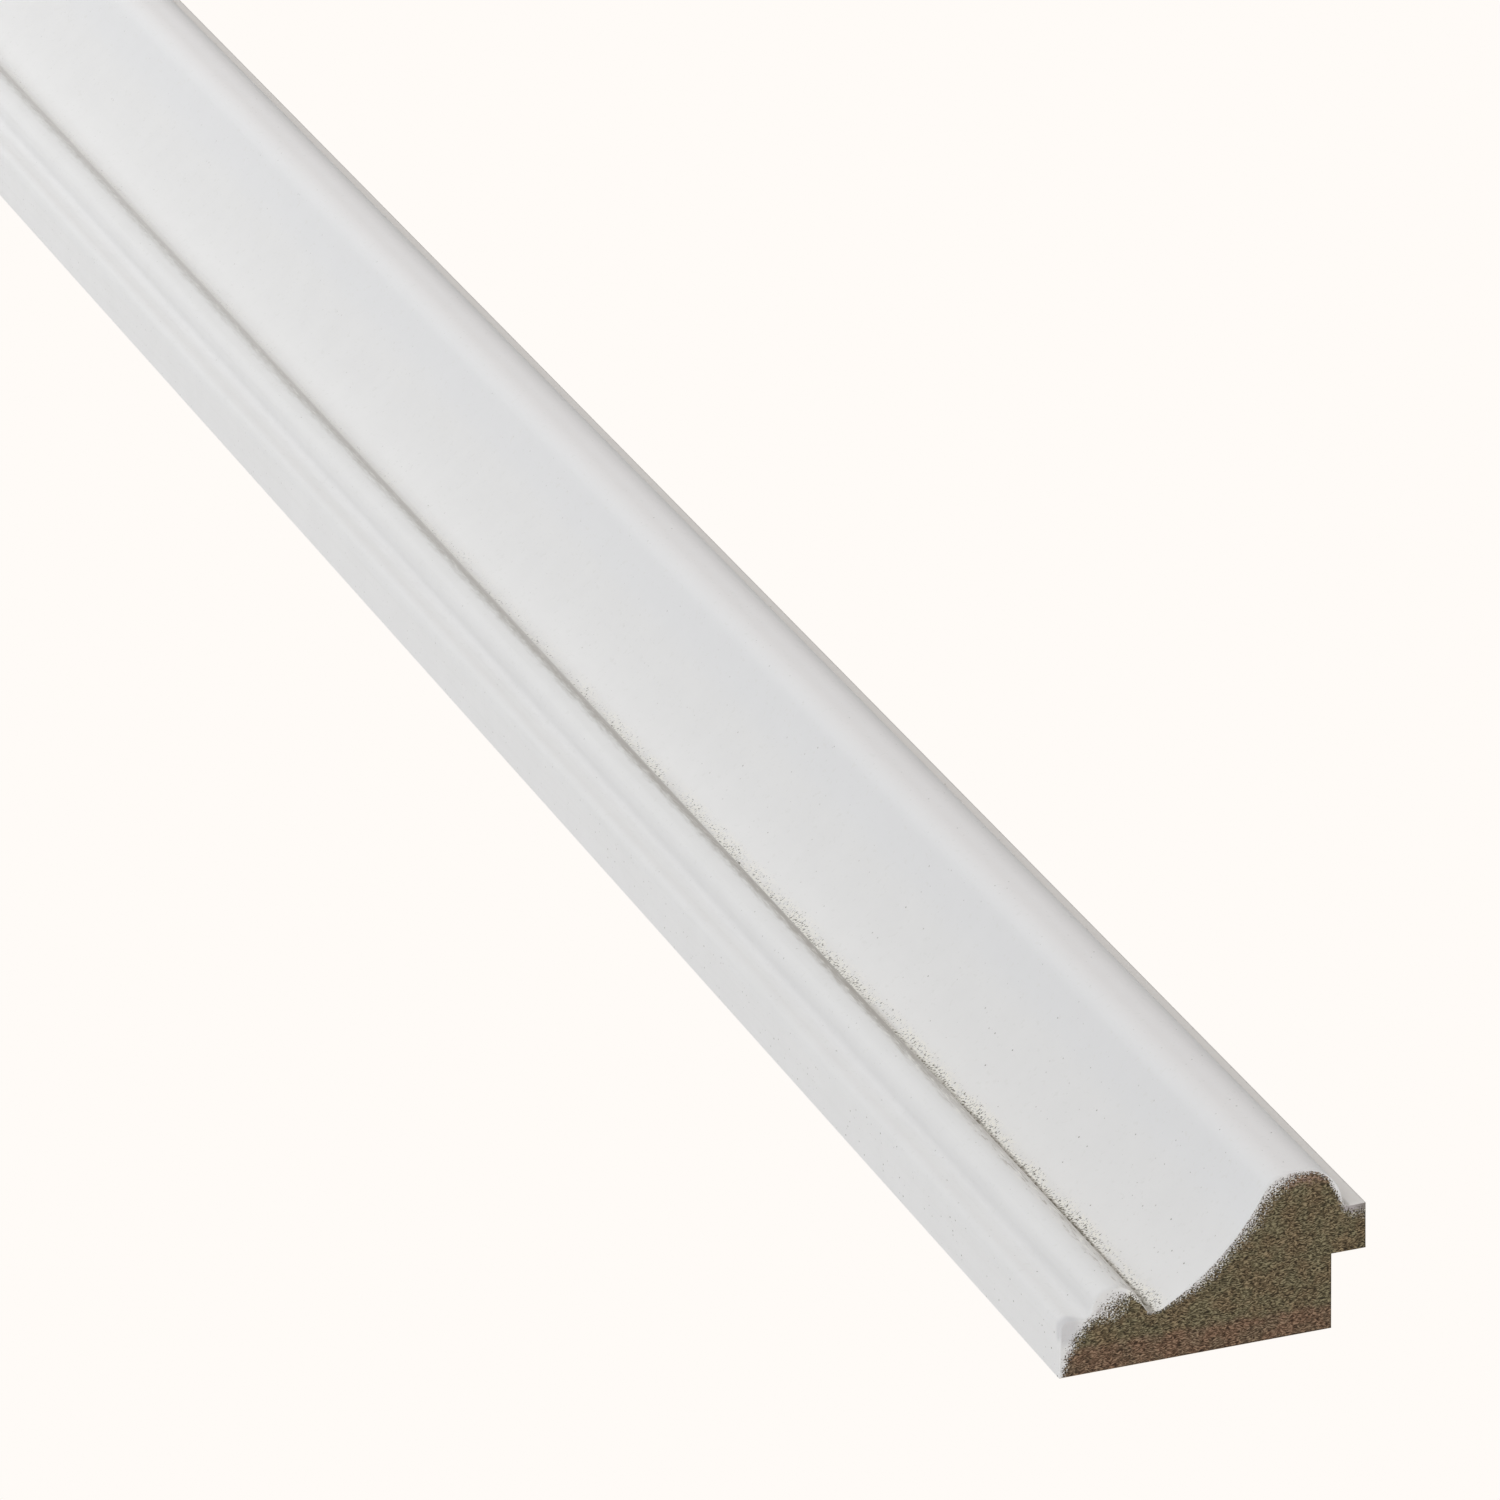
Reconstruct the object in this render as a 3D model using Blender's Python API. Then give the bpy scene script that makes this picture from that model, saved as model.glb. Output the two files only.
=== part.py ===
# A dado rail of primed MDF, made in one piece, with a rebate that laps over panelling.
# The rail lies on its flat back. X runs along it, Y runs across it from the bead to the lip,
# and Z points out of the wall. The origin is on the back, midway along and across.

import math

import bpy
from mathutils import Matrix, Vector

# The whole rail, in metres
RAIL_LENGTH = 0.550
RAIL_WIDTH = 0.040
RAIL_THICKNESS = 0.022

# The rebate at the lip side, which takes the edge of a panel
REBATE_HEIGHT = 0.0100
LIP_OVERHANG = 0.0045
LIP_THICKNESS = 0.0061
LIP_FLAT = 0.0027
LIP_ARRIS = 0.0001

# The low step at the bead side, which falls a little towards the bead
STEP_HEIGHT = 0.0081
STEP_WIDTH = 0.0042
STEP_FALL = 0.0010
STEP_ROUND = 0.0012
QUIRK_ROUND = 0.0003

# The bead, as wide at its foot as from the quirk to the groove
BEAD_WIDTH = 0.0074
BEAD_HEIGHT = 0.01095
BEAD_INNER_ROUND = 0.0025
BEAD_OUTER_ROUND = 0.0030
BEAD_FLANK = math.radians(60)

# The groove between the bead and the hollow, with a narrow flat bottom
GROOVE_HEIGHT = 0.00675
GROOVE_WIDTH = 0.0015
GROOVE_INNER_ROUND = 0.0003
GROOVE_OUTER_ROUND = 0.0015

# The long hollow, which rises from the groove to the ridge
HOLLOW_START = math.radians(30)
HOLLOW_END = math.radians(58.5)
HOLLOW_ROUND = 0.034

# The ridge, as wide as its top would be with sharp corners
RIDGE_WIDTH = 0.0076
RIDGE_INNER_ROUND = 0.0040
RIDGE_OUTER_ROUND = 0.0055
RIDGE_FLANK = math.radians(72)
RIDGE_FOOT_ROUND = 0.0004

# How far a facet of a round may lie inside the true arc, and how near two points are one
FACET_DEPTH = 0.000005
MEETING = 0.000001

PRIMER_COLOUR = (0.85, 0.85, 0.84, 1.0)
PRIMER_ROUGHNESS = 0.45


def crossing(start, start_angle, end, end_angle):
    """Where the line from start at its angle meets the line back from end at its own."""
    along = Vector((math.cos(start_angle), math.sin(start_angle)))
    back = Vector((math.cos(end_angle), math.sin(end_angle)))
    gap = end - start
    distance = (gap.x * back.y - gap.y * back.x) / (along.x * back.y - along.y * back.x)
    return start + along * distance


def section_corners():
    """The corners of the section before rounding, as (place, radius), round from the back."""
    rebate_wall = RAIL_WIDTH - LIP_OVERHANG
    lip_top = REBATE_HEIGHT + LIP_THICKNESS
    step_edge = Vector((0.0, STEP_HEIGHT))
    quirk = Vector((STEP_WIDTH, STEP_HEIGHT - STEP_FALL))
    bead_inner = Vector((STEP_WIDTH, BEAD_HEIGHT))
    groove_inner = Vector((STEP_WIDTH + BEAD_WIDTH, GROOVE_HEIGHT))
    groove_outer = Vector((groove_inner.x + GROOVE_WIDTH, GROOVE_HEIGHT))
    bead_run = (BEAD_HEIGHT - GROOVE_HEIGHT) / math.tan(BEAD_FLANK)
    bead_outer = Vector((groove_inner.x - bead_run, BEAD_HEIGHT))
    ridge_foot = Vector((RAIL_WIDTH - LIP_FLAT, lip_top))
    flank_run = (RAIL_THICKNESS - lip_top) / math.tan(RIDGE_FLANK)
    ridge_outer = Vector((ridge_foot.x - flank_run, RAIL_THICKNESS))
    ridge_inner = Vector((ridge_outer.x - RIDGE_WIDTH, RAIL_THICKNESS))
    hollow = crossing(groove_outer, HOLLOW_START, ridge_inner, HOLLOW_END)
    return [
        (Vector((0.0, 0.0)), 0.0),
        (Vector((rebate_wall, 0.0)), 0.0),
        (Vector((rebate_wall, REBATE_HEIGHT)), 0.0),
        (Vector((RAIL_WIDTH, REBATE_HEIGHT)), 0.0),
        (Vector((RAIL_WIDTH, lip_top)), LIP_ARRIS),
        (ridge_foot, RIDGE_FOOT_ROUND),
        (ridge_outer, RIDGE_OUTER_ROUND),
        (ridge_inner, RIDGE_INNER_ROUND),
        (hollow, HOLLOW_ROUND),
        (groove_outer, GROOVE_OUTER_ROUND),
        (groove_inner, GROOVE_INNER_ROUND),
        (bead_outer, BEAD_OUTER_ROUND),
        (bead_inner, BEAD_INNER_ROUND),
        (quirk, QUIRK_ROUND),
        (step_edge, STEP_ROUND),
    ]


def rounded_outline(corners):
    """The closed outline through the corners, with each one's arc limited by its two sides."""
    count = len(corners)
    places = [place for place, _ in corners]
    sides = [places[(i + 1) % count] - places[i] for i in range(count)]
    half_angles = [sides[i].angle(-sides[i - 1]) / 2 for i in range(count)]
    reaches = [radius / math.tan(half) for (_, radius), half in zip(corners, half_angles)]

    def share(i):
        """How much of its wish each end of side i can have."""
        wanted = reaches[i] + reaches[(i + 1) % count]
        return min(1.0, sides[i].length / wanted) if wanted else 1.0

    points = []
    for i, (place, _) in enumerate(corners):
        reach = reaches[i] * min(share(i - 1), share(i))
        if not reach:
            points.append(place)
            continue
        arriving, leaving = sides[i - 1].normalized(), sides[i].normalized()
        radius = reach * math.tan(half_angles[i])
        centre = place + (leaving - arriving).normalized() * (reach / math.cos(half_angles[i]))
        start = place - arriving * reach - centre
        turn = math.atan2(arriving.x * leaving.y - arriving.y * leaving.x, arriving.dot(leaving))
        facet_turn = 2 * math.acos(1 - min(FACET_DEPTH / radius, 1.0))
        steps = max(2, math.ceil(abs(turn) / facet_turn))
        points += [centre + Matrix.Rotation(turn * k / steps, 2) @ start for k in range(steps + 1)]
    # Two arcs that fill a side between them meet in one point
    return [p for i, p in enumerate(points) if (p - points[i - 1]).length > MEETING]


def primer_material():
    """White primer with a low sheen."""
    material = bpy.data.materials.new("white_primer")
    material.use_nodes = True
    shader = material.node_tree.nodes["Principled BSDF"]
    shader.inputs["Base Color"].default_value = PRIMER_COLOUR
    shader.inputs["Roughness"].default_value = PRIMER_ROUGHNESS
    shader.inputs["Metallic"].default_value = 0.0
    material.diffuse_color = PRIMER_COLOUR
    return material


def dado_rail(collection):
    """The section drawn as a flat outline and extruded to the rail's length."""
    outline = rounded_outline(section_corners())
    curve = bpy.data.curves.new("dado_rail", "CURVE")
    curve.dimensions = "2D"
    curve.fill_mode = "BOTH"
    curve.extrude = RAIL_LENGTH / 2
    spline = curve.splines.new("POLY")
    spline.points.add(len(outline) - 1)
    for point, place in zip(spline.points, outline):
        point.co = (place.x, place.y, 0.0, 1.0)
    spline.use_cyclic_u = True
    curve.materials.append(primer_material())
    rail = bpy.data.objects.new("dado_rail", curve)
    # The outline's own X runs across the rail, its Y out of the wall, and its extrusion along the rail
    rail.rotation_euler = (math.pi / 2, 0.0, math.pi / 2)
    rail.location = (0.0, -RAIL_WIDTH / 2, 0.0)
    collection.objects.link(rail)
    return rail


def main():
    for leftover in list(bpy.data.objects):
        bpy.data.objects.remove(leftover, do_unlink=True)
    collection = bpy.data.collections.new("dado_rail")
    bpy.context.scene.collection.children.link(collection)
    dado_rail(collection)


main()
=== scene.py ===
import math
import random

import bpy
import numpy as np
from mathutils import Matrix, Vector, noise
from mathutils.geometry import delaunay_2d_cdt


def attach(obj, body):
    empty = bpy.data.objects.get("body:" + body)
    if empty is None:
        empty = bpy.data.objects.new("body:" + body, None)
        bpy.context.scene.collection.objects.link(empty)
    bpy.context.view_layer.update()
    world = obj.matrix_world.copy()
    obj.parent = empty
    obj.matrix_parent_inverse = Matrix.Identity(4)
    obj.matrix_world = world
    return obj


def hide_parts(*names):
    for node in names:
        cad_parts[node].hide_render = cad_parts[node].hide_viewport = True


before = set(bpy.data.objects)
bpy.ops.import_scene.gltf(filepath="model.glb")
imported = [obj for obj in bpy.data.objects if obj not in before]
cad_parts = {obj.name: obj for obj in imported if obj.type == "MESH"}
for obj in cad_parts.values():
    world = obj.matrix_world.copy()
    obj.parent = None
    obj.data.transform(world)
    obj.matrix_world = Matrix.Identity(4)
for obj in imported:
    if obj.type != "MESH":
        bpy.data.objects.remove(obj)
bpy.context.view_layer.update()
mm = 1000.0  # millimetres in a metre

# A length of dado rail, lying on its back. X runs along it, Y across it and Z out from the wall.
# Everything is in metres. The shaders work in millimetres.
rail = {
    "length": 0.550,
    "width": 0.040,
    "thickness": 0.022,
    "rebateHeight": 0.0100,
    "lipOverhang": 0.0045,
    "lipThickness": 0.0061,
    "lipFlat": 0.0027,
    "lipArris": 0.0001,
    "stepHeight": 0.0081,
    "stepWidth": 0.0042,
    "stepFall": 0.0010,
    "stepRound": 0.0012,
    "quirkRound": 0.00105,  # softened by the primer that fills it
    "beadWidth": 0.0074,
    "beadHeight": 0.01095,
    "beadInnerRound": 0.0025,
    "beadOuterRound": 0.0030,
    "beadFlank": math.radians(60),
    "grooveHeight": 0.00675,
    "grooveWidth": 0.0015,
    "grooveInnerRound": 0.0003,
    "grooveOuterRound": 0.0015,
    "hollowStart": math.radians(30),
    "hollowEnd": math.radians(58.5),
    "hollowRound": 0.034,
    "ridgeWidth": 0.0076,
    "ridgeInnerRound": 0.0040,
    "ridgeOuterRound": 0.0055,
    "ridgeFlank": math.radians(72),
    "ridgeFootRound": 0.0004,
    # how much the saw has rounded the arris at each corner
    "sawnRound": {
        "foot": 0.00008,
        "wall": 0.00003,
        "seat": 0.00003,
        "lipUnder": 0.00003,
        "lip": 0.00006,
        "ridgeFoot": 0.00010,
        "ridgeOuter": 0.00015,
        "ridgeInner": 0.00030,
        "hollow": 0.00025,
        "grooveOuter": 0.00010,
        "grooveInner": 0.00008,
        "beadOuter": 0.00025,
        "beadInner": 0.00035,
        "quirk": 0.00015,
        "stepEdge": 0.00045,
    },
    # where the bare core begins on the sawn end, round from the foot: across, out, and how wide the broken
    # primer is outside it, chosen from places measured in the photograph
    "coreEdge": [
        (0.0005, -0.0010, 0.0003),
        (0.0006, 0.0001, 0.0004),
        (0.0012, 0.0023, 0.0006),
        (0.0026, 0.0049, 0.0009),
        (0.0043, 0.0067, 0.0008),
        (0.0069, 0.0075, 0.0020),
        (0.0085, 0.0087, 0.0017),
        (0.0094, 0.0093, 0.0006),
        (0.0106, 0.0082, 0.0002),
        (0.0117, 0.0064, 0.0003),
        (0.0130, 0.0065, 0.0004),
        (0.0155, 0.0075, 0.0007),
        (0.0191, 0.0094, 0.0011),
        (0.0226, 0.0128, 0.0012),
        (0.0254, 0.0158, 0.0014),
        (0.0273, 0.0188, 0.0014),
        (0.0294, 0.0203, 0.0012),
        (0.0314, 0.0213, 0.0007),
        (0.0336, 0.0213, 0.0004),
        (0.0351, 0.0199, 0.0003),
        (0.0362, 0.0177, 0.0003),
        (0.0371, 0.0155, 0.0004),
        (0.0383, 0.0149, 0.0009),
        (0.0402, 0.0146, 0.0011),
    ],
    # the mesh round the section: how far a facet may lie inside its arc, how finely the outline is traced,
    # and how far apart the points are on the painted face, in the groove, on the bare faces and at rounds
    "facet": 0.0000005,
    "tracing": 0.00002,
    "faceStep": 0.00042,
    "grooveStep": 0.00017,
    "grooveReach": 0.0022,
    "bareStep": 0.00150,
    "tightRound": 0.0005,
    "tightShare": 0.35,
    "meeting": 0.000001,
    # the mesh along the rail: close steps behind the cut end, growing ones, and short ones at the far end
    "arrisRings": 4,
    "arrisRoom": 0.0006,
    "closeStep": 0.00060,
    "closeReach": 0.080,
    "farStep": 0.0050,
    "farGrowth": 0.06,
    "lastStep": 0.0012,
    "lastReach": 0.012,
    # the mesh on the sawn ends; the rows, the wobble and the room at the rim are shares of a step
    "cutEndStep": 0.00028,
    "farEndStep": 0.00050,
    "endRow": 0.87,
    "endWobble": (0.25, 0.2),
    "endRoom": 0.45,
    "endSeed": 11,
    # relief, all of it sunk into the section: how deep, how far from its middle, and its waves to a metre
    "sway": 0.000012,
    "swayWaves": (30.0, 160.0),
    "fuzz": 0.000060,
    "fuzzMiddle": 0.6,
    "fuzzReach": 0.0018,
    "fuzzWaves": (1800.0, 4200.0),
    "sawMark": 0.000090,
    "sawFade": 0.0006,
    "sawGrain": (1500.0, 4300.0),
    "sawWaves": (300.0, 260.0),
}


def crossing(start, startAngle, end, endAngle):
    # where the line from start at its angle meets the line back from end at its own
    along = Vector((math.cos(startAngle), math.sin(startAngle)))
    back = Vector((math.cos(endAngle), math.sin(endAngle)))
    gap = end - start
    distance = (gap.x * back.y - gap.y * back.x) / (along.x * back.y - along.y * back.x)
    return start + along * distance


def sectionCorners():
    # the section's corners before rounding, as name, place and radius, round from the back
    wall = rail["width"] - rail["lipOverhang"]
    lipTop = rail["rebateHeight"] + rail["lipThickness"]
    quirk = Vector((rail["stepWidth"], rail["stepHeight"] - rail["stepFall"]))
    grooveInner = Vector((rail["stepWidth"] + rail["beadWidth"], rail["grooveHeight"]))
    grooveOuter = Vector((grooveInner.x + rail["grooveWidth"], rail["grooveHeight"]))
    beadRun = (rail["beadHeight"] - rail["grooveHeight"]) / math.tan(rail["beadFlank"])
    ridgeFoot = Vector((rail["width"] - rail["lipFlat"], lipTop))
    flankRun = (rail["thickness"] - lipTop) / math.tan(rail["ridgeFlank"])
    ridgeOuter = Vector((ridgeFoot.x - flankRun, rail["thickness"]))
    ridgeInner = Vector((ridgeOuter.x - rail["ridgeWidth"], rail["thickness"]))
    hollow = crossing(grooveOuter, rail["hollowStart"], ridgeInner, rail["hollowEnd"])
    return [
        ("foot", Vector((0.0, 0.0)), 0.0),
        ("wall", Vector((wall, 0.0)), 0.0),
        ("seat", Vector((wall, rail["rebateHeight"])), 0.0),
        ("lipUnder", Vector((rail["width"], rail["rebateHeight"])), 0.0),
        ("lip", Vector((rail["width"], lipTop)), rail["lipArris"]),
        ("ridgeFoot", ridgeFoot, rail["ridgeFootRound"]),
        ("ridgeOuter", ridgeOuter, rail["ridgeOuterRound"]),
        ("ridgeInner", ridgeInner, rail["ridgeInnerRound"]),
        ("hollow", hollow, rail["hollowRound"]),
        ("grooveOuter", grooveOuter, rail["grooveOuterRound"]),
        ("grooveInner", grooveInner, rail["grooveInnerRound"]),
        ("beadOuter", Vector((grooveInner.x - beadRun, rail["beadHeight"])), rail["beadOuterRound"]),
        ("beadInner", Vector((rail["stepWidth"], rail["beadHeight"])), rail["beadInnerRound"]),
        ("quirk", quirk, rail["quirkRound"]),
        ("stepEdge", Vector((0.0, rail["stepHeight"])), rail["stepRound"]),
    ]


def roundedOutline(corners):
    # the outline with each corner's arc, and which of its points is the middle of which corner
    count = len(corners)
    places = [place for _, place, _ in corners]
    sides = [places[(i + 1) % count] - places[i] for i in range(count)]
    halfAngles = [sides[i].angle(-sides[i - 1]) / 2 for i in range(count)]
    reaches = [radius / math.tan(half) for (_, _, radius), half in zip(corners, halfAngles)]

    def share(i):
        # how much of its wish each end of side i can have
        wanted = reaches[i] + reaches[(i + 1) % count]
        return min(1.0, sides[i].length / wanted) if wanted else 1.0

    points, middles = [], {}
    for i, (name, place, _) in enumerate(corners):
        reach = reaches[i] * min(share(i - 1), share(i))
        if not reach:
            middles[name] = len(points)
            points.append(place)
            continue
        arriving, leaving = sides[i - 1].normalized(), sides[i].normalized()
        radius = reach * math.tan(halfAngles[i])
        centre = place + (leaving - arriving).normalized() * (reach / math.cos(halfAngles[i]))
        start = place - arriving * reach - centre
        turn = math.atan2(arriving.x * leaving.y - arriving.y * leaving.x, arriving.dot(leaving))
        facetTurn = 2 * math.acos(1 - min(rail["facet"] / radius, 1.0))
        steps = max(2, math.ceil(abs(turn) / facetTurn))
        middles[name] = len(points) + steps // 2
        points += [centre + Matrix.Rotation(turn * k / steps, 2) @ start for k in range(steps + 1)]
    return np.array([tuple(p) for p in points]), middles


def lengthsAlong(run):
    return np.concatenate(([0.0], np.cumsum(np.linalg.norm(np.diff(run, axis=0), axis=1))))


def evenly(run, spacing):
    # points along a run, as close together as spacing says at each place
    lengths = lengthsAlong(run)
    marks = np.linspace(0.0, lengths[-1], math.ceil(lengths[-1] / rail["tracing"]) + 1)
    run = np.stack([np.interp(marks, lengths, run[:, k]) for k in (0, 1)], 1)
    steps = np.linalg.norm(np.diff(run, axis=0), axis=1)
    middles = (run[1:] + run[:-1]) / 2
    tally = np.concatenate(([0.0], np.cumsum(steps / np.array([spacing(*m) for m in middles]))))
    marks = np.linspace(0.0, tally[-1], math.ceil(tally[-1]) + 1)
    return np.stack([np.interp(marks, tally, run[:, k]) for k in (0, 1)], 1)


tightCorners = [corner[1:] for corner in sectionCorners() if 0 < corner[2] < rail["tightRound"]]
grooveMiddle = rail["stepWidth"] + rail["beadWidth"] + rail["grooveWidth"] * rail["fuzzMiddle"]


def faceSpacing(across, out):
    # closer at the tight rounds, and in the groove, where raised fibres show
    near = abs(across - grooveMiddle) < rail["grooveReach"] and out < rail["beadHeight"]
    step = rail["grooveStep"] if near else rail["faceStep"]
    share = rail["tightShare"]
    for corner, radius in tightCorners:
        step = min(step, share * radius + share * math.dist((across, out), corner))
    return step


def meshRing():
    # the outline as the mesh has it: places, outward directions, girths, the arris's rounding at each, and
    # how many of the points lie on the bare sides
    outline, middles = roundedOutline(sectionCorners())
    closed = np.vstack([outline, outline[:1]])
    girth = lengthsAlong(closed)
    sharp = [middles[name] for name in ("foot", "wall", "seat", "lipUnder")]
    runs = [evenly(closed[a:b + 1], lambda *_: rail["bareStep"]) for a, b in zip(sharp, sharp[1:])]
    runs.append(evenly(closed[sharp[-1]:], faceSpacing))
    ring = np.vstack([run[:-1] for run in runs])
    bareCount = sum(len(run) - 1 for run in runs[:-1])
    ringGirth = lengthsAlong(np.vstack([ring, ring[:1]]))
    ringGirth *= girth[-1] / ringGirth[-1]
    tangents = np.roll(ring, -1, axis=0) - np.roll(ring, 1, axis=0)
    tangents /= np.linalg.norm(tangents, axis=1)[:, None]
    outward = np.stack([tangents[:, 1], -tangents[:, 0]], 1)
    names = sorted(middles, key=middles.get)
    marks = [girth[middles[name]] for name in names] + [girth[-1]]
    sizes = [rail["sawnRound"][name] for name in names] + [rail["sawnRound"]["foot"]]
    rounds = np.interp(ringGirth[:-1], marks, sizes)
    return ring, outward, ringGirth, rounds, bareCount


def stations():
    # the places along the rail where the section repeats, from the near cut end back, inside the arris
    half, inset = rail["length"] / 2, rail["arrisRoom"]
    marks, x = [half - inset], half - inset
    while x > -half + inset:
        gone = half - x
        step = rail["closeStep"]
        if gone > rail["closeReach"]:
            step = min(rail["farStep"], step + (gone - rail["closeReach"]) * rail["farGrowth"])
        if x + half < rail["lastReach"]:
            step = min(step, rail["lastStep"])
        x = max(x - step, -half + inset)
        marks.append(x)
    return marks


def sunk(x, across, out, girth):
    # how far the painted face lies inside the true section: a faint sway, and raised fibres in the groove;
    # each noise has a third place of its own, which keeps it apart from the other
    along, around = rail["swayWaves"]
    depth = rail["sway"] * (0.5 + 0.5 * noise.noise(Vector((x * along, girth * around, 3.0))))
    near = 1.0 - abs(across - grooveMiddle) / rail["fuzzReach"]
    if near > 0.0 and out < rail["beadHeight"]:
        along, around = rail["fuzzWaves"]
        fibres = noise.fractal(Vector((x * along, girth * around, 7.0)), 1.0, 2.0, 2)
        depth += rail["fuzz"] * near * (0.5 + 0.5 * fibres)
    return depth


def torn(side, across, out, gap):
    # how deep the saw tore the board at a place on the end, fading towards the rim
    acrossGrain, outGrain = rail["sawGrain"]
    grain = noise.fractal(Vector((side, across * acrossGrain, out * outGrain)), 0.8, 2.0, 3)
    acrossWaves, outWaves = rail["sawWaves"]
    wave = noise.noise(Vector((side * 5.0, across * acrossWaves, out * outWaves)))
    rough = 0.55 + 0.35 * grain + 0.25 * wave
    return max(rail["sawMark"] * rough * min(1.0, gap / rail["sawFade"]), 0.0)


def insideOutline(places, ring):
    # which places lie inside the closed outline, by counting the sides that they look across
    inside = np.zeros(len(places), bool)
    for (ax, ay), (bx, by) in zip(ring, np.roll(ring, -1, axis=0)):
        if ay == by:
            continue
        spans = (places[:, 1] < ay) != (places[:, 1] < by)
        at = ax + (places[:, 1] - ay) / (by - ay) * (bx - ax)
        inside ^= spans & (places[:, 0] < at)
    return inside


def gapToRim(places, rim):
    return np.sqrt(((places[:, None, :] - rim[None, :, :]) ** 2).sum(2).min(1))


def coreBareness(places):
    # how far each place of the sawn end lies inside the bare core, in widths of the broken primer there
    line = np.array(rail["coreEdge"])
    steps = np.diff(line[:, :2], axis=0)
    away = places[:, None, :] - line[:-1, :2]
    share = np.clip((away * steps).sum(2) / (steps ** 2).sum(1), 0.0, 1.0)
    gaps = np.linalg.norm(away - share[..., None] * steps, axis=2)
    rows, nearest = np.arange(len(places)), gaps.argmin(1)
    step, gone = steps[nearest], away[rows, nearest]
    side = np.sign(step[:, 1] * gone[:, 0] - step[:, 0] * gone[:, 1])
    width = line[nearest, 2] + share[rows, nearest] * np.diff(line[:, 2])[nearest]
    return side * gaps[rows, nearest] / width


def endMesh(rim, step):
    # the sawn end inside its rim: points, triangles, and each point's distance from the rim
    low, high = rim.min(0), rim.max(0)
    rng = random.Random(rail["endSeed"])
    rowStep = rail["endRow"]
    sideways, upwards = rail["endWobble"]
    grid = []
    for row in range(int((high[1] - low[1]) / (step * rowStep)) + 1):
        for column in range(int((high[0] - low[0]) / step) + 2):
            grid.append((
                low[0] + (column + 0.5 * (row % 2) + rng.uniform(-sideways, sideways)) * step,
                low[1] + (row * rowStep + rng.uniform(-upwards, upwards)) * step,
            ))
    grid = np.array(grid)
    grid = grid[insideOutline(grid, rim)]
    grid = grid[gapToRim(grid, rim) > rail["endRoom"] * step]
    points = np.vstack([rim, grid])
    # worked out in millimetres, and only what lies inside the rim
    inside, meeting = 1, 1e-6
    found = delaunay_2d_cdt([Vector(p * mm) for p in points], [], [list(range(len(rim)))], inside, meeting)
    order = [group[0] for group in found[3]]
    faces = [[order[i] for i in face] for face in found[2]]
    return points, faces, gapToRim(points, rim)


# Where each stretch of the surface lies on the sheet that the looks can be baked to: its left and lower
# edge in dots, and how many millimetres a dot is. The painted face has a close and a far stretch.
sheet = {
    "side": 1024,
    "closeLength": 0.150,
    "overlap": 4,  # how many close steps the far stretch starts before the close one's length
    "close": (5, 5, 0.173),
    "far": (400, 5, 0.398),
    "bare": (580, 5, 0.550),
    "cutEnd": (684, 5, 0.0680),
    "farEnd": (684, 612, 0.1240),
}


def onSheet(name, first, second):
    left, low, scale = sheet[name]
    return np.stack([left + mm * first / scale, low + mm * second / scale], -1) / sheet["side"]


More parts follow.
